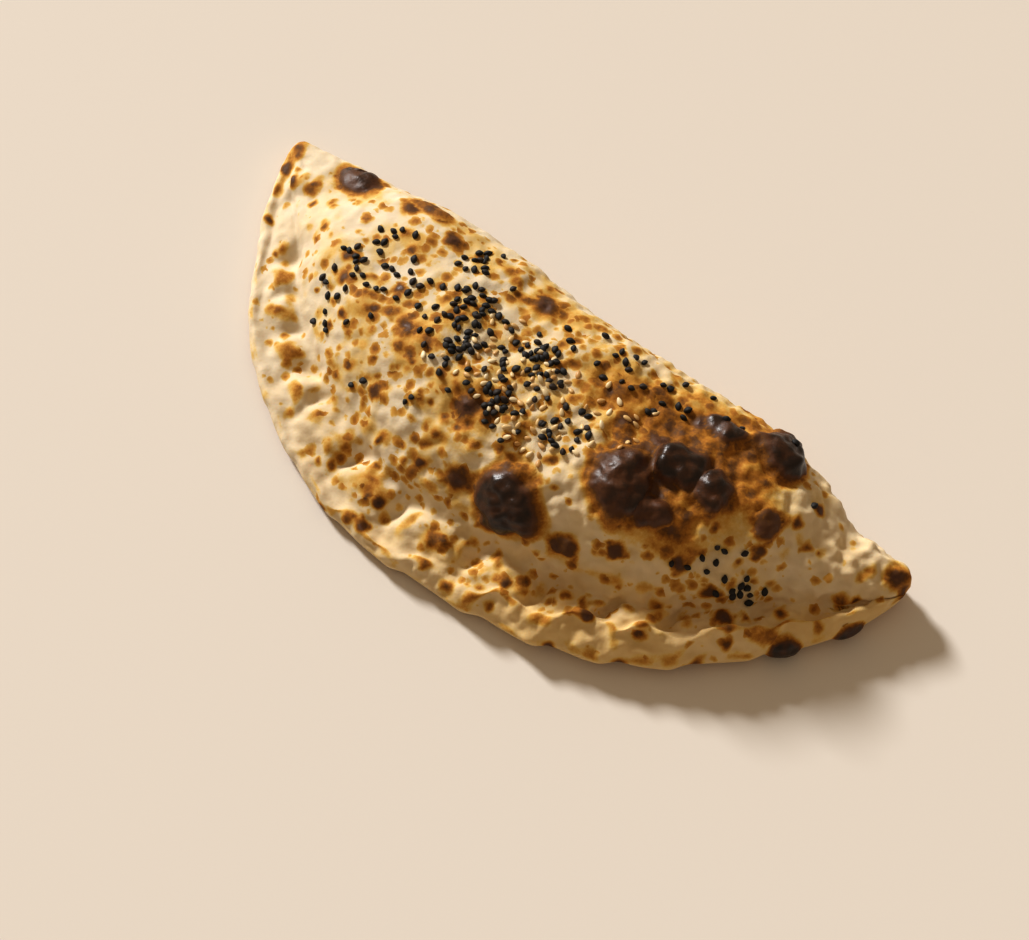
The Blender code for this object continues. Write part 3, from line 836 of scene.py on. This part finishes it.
def make_crust():
    """The crust, with how toasted, how golden and how flecked it is at each point."""
    mesh, along, across = crust_blank()
    bare = softened(mesh, crust_points(along, across), SOFTENINGS)
    level = softened(mesh, bare, LEVEL_PASSES)
    slacken(bare, level, along, across)

    toast, spots = spot_toast(bare)
    toast = 1 - (1 - toast) * (1 - under_toast(bare, across))
    points = bare.copy()
    raise_blisters(points, toast)
    shape_to(mesh, points)

    outward = outward_of(mesh, points)
    on_top = smooth(0.0, RIM_START, across) * (1 - smooth(FOLD_END, FOOT_END, across))
    browned = proud_toast(bare, level, outward) * on_top
    toast = 1 - (1 - toast) * (1 - browned)
    rise = (wrinkling(bare, along) + MARK_HEIGHT * spots) * on_top
    shape_to(mesh, points + outward * rise[:, None])
    mesh.shade_smooth()

    add_floats(mesh, "toast", toast)
    add_floats(mesh, "golden", gold_of(bare, along, across, browned))
    add_floats(mesh, "flecks", fleck_density(along, across))
    crust = bpy.data.objects.new("crust", mesh)
    bpy.context.scene.collection.objects.link(crust)
    return crust


def places_in_patches(patches, count, seed, gap):
    """(along, across, spin) of each seed, drawn patch by patch and kept apart from the others."""
    draw = np.random.default_rng(seed)
    patches = np.array(patches)
    odds = patches[:, 4] / patches[:, 4].sum()
    kept, points = [], np.full((1, 3), np.inf)
    while len(kept) < count:
        patch = patches[draw.choice(len(patches), p=odds)]
        along, across = draw.normal(patch[:2], patch[2:4])
        spin = draw.uniform(0, math.pi)
        point = crust_points(along, across)
        if np.linalg.norm(points - point, axis=1).min() > gap:
            kept.append((along, across, spin))
            points = np.vstack([points, point])
    return kept


def settle(place, crust_tree):
    """Move a place straight down onto the finished crust, and turn it to the crust's slope there."""
    out = place.to_3x3().col[2]
    spot, normal, _, _ = crust_tree.ray_cast(place.translation + GRAIN_DROP * out, -out)
    forward = place.to_3x3().col[0]
    forward = (forward - normal * forward.dot(normal)).normalized()
    turn = Matrix((forward, normal.cross(forward), normal)).transposed()
    return Matrix.Translation(spot) @ turn.to_4x4()


def scatter(name, shape, size, places, seed, crust_tree):
    """One piece that holds a shaped grain at every place."""
    draw = np.random.default_rng(seed)
    bm = bmesh.new()
    bmesh.ops.create_icosphere(bm, subdivisions=GRAIN_ROUNDS, radius=1.0)
    grain = np.array([shape(vert.co) for vert in bm.verts])
    faces = np.array([[vert.index for vert in face.verts] for face in bm.faces])
    bm.free()
    points, corners, tints = [], [], []
    for number, (along, across, spin) in enumerate(places):
        grow = draw.uniform(*GRAIN_GROWTH)
        lean = draw.uniform(*GRAIN_LEAN)
        place = settle(frame_on_crust(along, across), crust_tree)
        place @= Matrix.Translation((0, 0, GRAIN_RISE * size[2])) @ Matrix.Rotation(spin, 4, "Z")
        place @= Matrix.Rotation(lean, 4, "Y")
        points.append(moved_by(grain * size * grow, place))
        corners.append(faces + number * len(grain))
        tints += [draw.uniform(0, 1)] * len(grain)
    mesh = bpy.data.meshes.new(name)
    mesh.from_pydata(np.concatenate(points), [], np.concatenate(corners))
    mesh.shade_smooth()
    add_floats(mesh, "tint", np.array(tints))
    piece = bpy.data.objects.new(name, mesh)
    bpy.context.scene.collection.objects.link(piece)
    return piece


# How far a nigella seed thins to its point and to its blunt end, and how deep its three faces are.
NIGELLA_POINT, NIGELLA_BLUNT, NIGELLA_FACES = 0.45, 0.12, 0.13
NIGELLA_POINT_POWER = 1.5
SESAME_POINT = 0.42  # how far a sesame seed thins to its point


def nigella_shape(co):
    """A three-sided teardrop: blunt at one end, pointed at the other."""
    taper = 1 - NIGELLA_POINT * max(co.x, 0) ** NIGELLA_POINT_POWER - NIGELLA_BLUNT * max(-co.x, 0)
    angle = math.atan2(co.z, co.y)
    faceted = 1 + NIGELLA_FACES * math.cos(3 * angle)
    return Vector((co.x, co.y * taper * faceted, co.z * taper * faceted))


def sesame_shape(co):
    """A flat teardrop."""
    taper = 1 - SESAME_POINT * (0.5 + 0.5 * co.x) ** 2
    return Vector((co.x, co.y * taper, co.z))


def colour_of(code):
    """The linear colour of an sRGB hex code."""
    parts = [int(code[at : at + 2], 16) / 255 for at in (1, 3, 5)]
    return (*[part / 12.92 if part <= 0.04045 else ((part + 0.055) / 1.055) ** 2.4 for part in parts], 1)


def add(tree, kind, settings=None, links=None):
    """Add a node: lower-case settings are its properties, the others are its sockets' values."""
    node = tree.nodes.new(kind)
    for name, value in (settings or {}).items():
        if name == "stops":
            elements = node.color_ramp.elements
            while len(elements) < len(value):
                elements.new(1)
            for element, (place, colour) in zip(elements, value):
                element.position = place
                element.color = colour_of(colour)
        elif str(name).islower():
            setattr(node, name, value)
        else:
            node.inputs[name].default_value = value
    for name, source in (links or {}).items():
        tree.links.new(source, node.inputs[name])
    return node


def surface(name, settings):
    """A material with its Principled shader, and the tree they are in."""
    finish = bpy.data.materials.new(name)
    finish.use_nodes = True
    tree = finish.node_tree
    shader = tree.nodes["Principled BSDF"]
    for socket, value in settings.items():
        shader.inputs[socket].default_value = value
    return finish, tree, shader


def baked_wheat_dough():
    """Baked wheat dough: matt and floury where pale, toasted through gold and amber to a glossy char."""
    finish, tree, shader = surface("baked_wheat_dough", {
        "IOR": 1.5, "Metallic": 0.0, "Specular IOR Level": 0.45, "Subsurface Weight": 0.25,
        "Subsurface Radius": (1.0, 0.75, 0.5), "Subsurface Scale": LIGHT_SINKS,
    })
    place = add(tree, "ShaderNodeTexCoord").outputs["Object"]
    toast, golden, density = [
        add(tree, "ShaderNodeAttribute", {"attribute_name": name}).outputs["Fac"]
        for name in ("toast", "golden", "flecks")
    ]
    bare = add(tree, "ShaderNodeMath", {"operation": "SUBTRACT", 0: 1.0}, {1: toast}).outputs[0]
    half_baked = add(tree, "ShaderNodeMath", {"operation": "MULTIPLY"}, {0: toast, 1: bare}).outputs[0]

    # Small bubbles toast first, as roundish flecks: only some of them, and more where flecks lie thick.
    bend = add(
        tree, "ShaderNodeTexNoise", {"Scale": 1 / BUBBLE_BEND[0], "Detail": 2.0}, {"Vector": place}
    ).outputs["Color"]
    bent_place = add(
        tree, "ShaderNodeVectorMath", {"operation": "MULTIPLY_ADD", 1: (BUBBLE_BEND[1],) * 3},
        {0: bend, 2: place},
    ).outputs["Vector"]
    bubbles = add(tree, "ShaderNodeTexVoronoi", {"Scale": 1 / BUBBLE_SPACING}, {"Vector": bent_place})
    chance = add(
        tree, "ShaderNodeMath", {"operation": "MULTIPLY_ADD", 1: FLECK_GAIN},
        {0: density, 2: bubbles.outputs["Color"]},
    ).outputs[0]
    radius = add(
        tree, "ShaderNodeMapRange",
        {"interpolation_type": "SMOOTHSTEP", "From Min": FLECK_CHANCES[0], "From Max": FLECK_CHANCES[1],
         "To Max": FLECK_RADIUS},
        {"Value": chance},
    ).outputs["Result"]
    depth = add(
        tree, "ShaderNodeMath", {"operation": "SUBTRACT"}, {0: radius, 1: bubbles.outputs["Distance"]}
    ).outputs[0]

    # A fleck is gold at its edge and browner in its middle, and a faint gold haze lies among them.
    gold_edge = add(
        tree, "ShaderNodeMapRange",
        {"interpolation_type": "SMOOTHSTEP", "From Min": FLECK_GOLD[0], "From Max": FLECK_GOLD[1],
         "To Max": FLECK_GOLD[2]},
        {"Value": depth},
    ).outputs["Result"]
    brown_middle = add(
        tree, "ShaderNodeMapRange",
        {"interpolation_type": "SMOOTHSTEP", "From Min": FLECK_BROWN[0], "From Max": FLECK_BROWN[1],
         "To Max": FLECK_BROWN[2]},
        {"Value": depth},
    ).outputs["Result"]
    clouds = add(
        tree, "ShaderNodeTexNoise", {"Scale": 1 / HAZE_SIZE, "Detail": 2.0, "Roughness": 0.5},
        {"Vector": place},
    ).outputs["Fac"]
    haze = add(
        tree, "ShaderNodeMapRange",
        {"interpolation_type": "SMOOTHSTEP", "From Min": HAZE[0], "From Max": HAZE[1], "To Max": HAZE[2]},
        {"Value": clouds},
    ).outputs["Result"]
    flecks = add(tree, "ShaderNodeMath", {"operation": "ADD"}, {0: gold_edge, 1: brown_middle}).outputs[0]
    flecks = add(
        tree, "ShaderNodeMath", {"operation": "MULTIPLY_ADD"}, {0: haze, 1: density, 2: flecks}
    ).outputs[0]
    baked = add(
        tree, "ShaderNodeMath", {"operation": "MULTIPLY_ADD"}, {0: flecks, 1: bare, 2: toast}
    ).outputs[0]

    # Fine crumb shows on toasted dough, and not on what is bare or charred.
    crumbs = add(
        tree, "ShaderNodeTexNoise", {"Scale": 1 / CRUMB_SIZE, "Detail": 3.0, "Roughness": 0.6},
        {"Vector": place},
    ).outputs["Fac"]
    crumb = add(
        tree, "ShaderNodeMapRange", {"To Min": -CRUMB_DEPTH, "To Max": CRUMB_DEPTH}, {"Value": crumbs}
    ).outputs["Result"]
    baked = add(
        tree, "ShaderNodeMath", {"operation": "MULTIPLY_ADD"}, {0: crumb, 1: half_baked, 2: baked}
    ).outputs[0]

    # The golden share turns the pale dough gold; in part it paints warm shade.
    pale = add(
        tree, "ShaderNodeMix", {"data_type": "RGBA", 6: colour_of("#dfd0b5"), 7: colour_of("#dcbe86")},
        {0: golden},
    ).outputs[2]
    toasted = add(
        tree, "ShaderNodeValToRGB",
        {"stops": (
            (0.00, "#dfca98"),
            (0.16, "#d8b567"),
            (0.30, "#c5923a"),
            (0.43, "#aa7018"),
            (0.56, "#87560b"),
            (0.70, "#5f3a0c"),
            (0.84, "#593315"),
            (1.00, "#2a190e"),
        )},
        {"Fac": baked},
    ).outputs["Color"]
    coloured = add(
        tree, "ShaderNodeMapRange", {"interpolation_type": "SMOOTHSTEP", "From Max": PALE_END},
        {"Value": baked},
    ).outputs["Result"]
    colour = add(
        tree, "ShaderNodeMix", {"data_type": "RGBA"}, {0: coloured, 6: pale, 7: toasted}
    ).outputs[2]
    tree.links.new(colour, shader.inputs["Base Color"])

    # Dough stays matt until it chars, and the char shines.
    gloss = add(
        tree, "ShaderNodeMapRange",
        {"From Min": CHAR[0], "From Max": CHAR[1], "To Min": CHAR_ROUGHNESS[0], "To Max": CHAR_ROUGHNESS[1]},
        {"Value": baked},
    ).outputs["Result"]
    tree.links.new(gloss, shader.inputs["Roughness"])
    flour = add(
        tree, "ShaderNodeTexNoise", {"Scale": 1 / FLOUR_SIZE, "Detail": 3.0, "Roughness": 0.6},
        {"Vector": place},
    ).outputs["Fac"]
    bump = add(
        tree, "ShaderNodeBump", {"Strength": FLOUR_STRENGTH, "Distance": FLOUR_DEPTH}, {"Height": flour}
    ).outputs["Normal"]
    tree.links.new(bump, shader.inputs["Normal"])
    return finish


def nigella_hull():
    """Nigella seed: a dull, dry black hull, browner on some seeds."""
    finish, tree, shader = surface("nigella_hull", {"IOR": 1.5, "Roughness": 0.68, "Metallic": 0.0})
    tint = add(tree, "ShaderNodeAttribute", {"attribute_name": "tint"}).outputs["Fac"]
    colour = add(
        tree, "ShaderNodeValToRGB",
        {"stops": ((0.0, "#0d0b0b"), (0.8, "#1d1815"), (1.0, "#33251a"))}, {"Fac": tint},
    ).outputs["Color"]
    tree.links.new(colour, shader.inputs["Base Color"])
    return finish


def sesame_hull():
    """Sesame seed: a pale, waxy hull that the oven toasted to gold on some seeds."""
    finish, tree, shader = surface("sesame_hull", {"IOR": 1.47, "Roughness": 0.42, "Metallic": 0.0})
    tint = add(tree, "ShaderNodeAttribute", {"attribute_name": "tint"}).outputs["Fac"]
    colour = add(
        tree, "ShaderNodeValToRGB",
        {"stops": ((0.0, "#ecdcb8"), (0.6, "#dcbd86"), (1.0, "#c08f4d"))}, {"Fac": tint},
    ).outputs["Color"]
    tree.links.new(colour, shader.inputs["Base Color"])
    return finish


FLOOR_SIZE = 3.0  # half of its side


def make_floor():
    """A wide plain floor, just under the samosa."""
    bm = bmesh.new()
    bmesh.ops.create_grid(bm, x_segments=1, y_segments=1, size=FLOOR_SIZE)
    mesh = bpy.data.meshes.new("floor")
    bm.to_mesh(mesh)
    bm.free()
    floor = bpy.data.objects.new("floor", mesh)
    floor.location.z = cad_box[0].z
    bpy.context.scene.collection.objects.link(floor)
    # Painted board: pale and matt.
    settings = {"Base Color": colour_of("#e8e2da"), "Roughness": 0.7, "IOR": 1.45, "Metallic": 0.0}
    finish, _, _ = surface("painted_board", settings)
    mesh.materials.append(finish)


CAMERA_AZIMUTH = math.radians(32.8)
CAMERA_ELEVATION = math.radians(65)
CAMERA_ROLL = math.radians(6.35)
CAMERA_TARGET = (0.0035, -0.0020, 0.0)
CAMERA_DISTANCE = 0.7303
CAMERA_LENS = 84.68  # millimetres
CAMERA_CLIP = (0.01, 20)


def make_camera():
    """A camera that looks down on the samosa from its crimped side."""
    reach = math.cos(CAMERA_ELEVATION)
    heading = (math.sin(CAMERA_AZIMUTH) * reach, -math.cos(CAMERA_AZIMUTH) * reach)
    back = Vector((*heading, math.sin(CAMERA_ELEVATION)))
    right = Vector((0, 0, 1)).cross(back).normalized()
    up = back.cross(right)
    rolled_right = math.cos(CAMERA_ROLL) * right + math.sin(CAMERA_ROLL) * up
    rolled_up = math.cos(CAMERA_ROLL) * up - math.sin(CAMERA_ROLL) * right
    lens = bpy.data.cameras.new("camera")
    lens.lens = CAMERA_LENS
    lens.clip_start, lens.clip_end = CAMERA_CLIP
    camera = bpy.data.objects.new("camera", lens)
    place = Matrix.Translation(Vector(CAMERA_TARGET) + back * CAMERA_DISTANCE)
    camera.matrix_world = place @ Matrix((rolled_right, rolled_up, back)).transposed().to_4x4()
    bpy.context.scene.collection.objects.link(camera)
    bpy.context.scene.camera = camera


SUN_HEADING = (0.965, -0.262)  # the way that its light travels over the floor
SUN_ELEVATION = math.radians(29)
SUN_ENERGY = 4.1
SUN_ANGLE = math.radians(10)  # wide, so that shadows have soft edges
FILL_COLOUR = (1.0, 0.78, 0.545, 1)
FILL_STRENGTH = 0.396
GAMMA = 0.82  # of the finished picture


def make_lights():
    """One low, soft sun from behind, and an even warm fill from all round."""
    sun = bpy.data.lights.new("sun", "SUN")
    sun.energy = SUN_ENERGY
    sun.angle = SUN_ANGLE
    lamp = bpy.data.objects.new("sun", sun)
    reach = math.cos(SUN_ELEVATION)
    travel = Vector((SUN_HEADING[0] * reach, SUN_HEADING[1] * reach, -math.sin(SUN_ELEVATION)))
    lamp.rotation_mode = "QUATERNION"
    lamp.rotation_quaternion = travel.to_track_quat("-Z", "Y")
    bpy.context.scene.collection.objects.link(lamp)
    world = bpy.data.worlds.new("fill")
    world.use_nodes = True
    background = world.node_tree.nodes["Background"]
    background.inputs["Color"].default_value = FILL_COLOUR
    background.inputs["Strength"].default_value = FILL_STRENGTH
    bpy.context.scene.world = world


def dress(piece, finish):
    """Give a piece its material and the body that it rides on."""
    piece.data.materials.append(finish)
    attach(piece, "root")


def main():
    crust = make_crust()
    dress(crust, baked_wheat_dough())
    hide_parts("samosa")

    tree = BVHTree.FromObject(crust, bpy.context.evaluated_depsgraph_get())
    places = places_in_patches(SEED_PATCHES, SEED_COUNT, SEED_SEED, SEED_GAP)
    places += places_in_patches(CLUMP_PATCHES, CLUMP_COUNT, CLUMP_SEED, CLUMP_GAP)
    nigella = scatter("nigella_seeds", nigella_shape, NIGELLA_SIZE, places, NIGELLA_DRAW, tree)
    dress(nigella, nigella_hull())
    places = places_in_patches(SESAME_PATCHES, SESAME_COUNT, SESAME_SEED, SEED_GAP)
    sesame = scatter("sesame_seeds", sesame_shape, SESAME_SIZE, places, SESAME_DRAW, tree)
    dress(sesame, sesame_hull())

    make_floor()
    make_camera()
    make_lights()
    bpy.context.scene.view_settings.view_transform = "Standard"
    bpy.context.scene.view_settings.gamma = GAMMA


main()
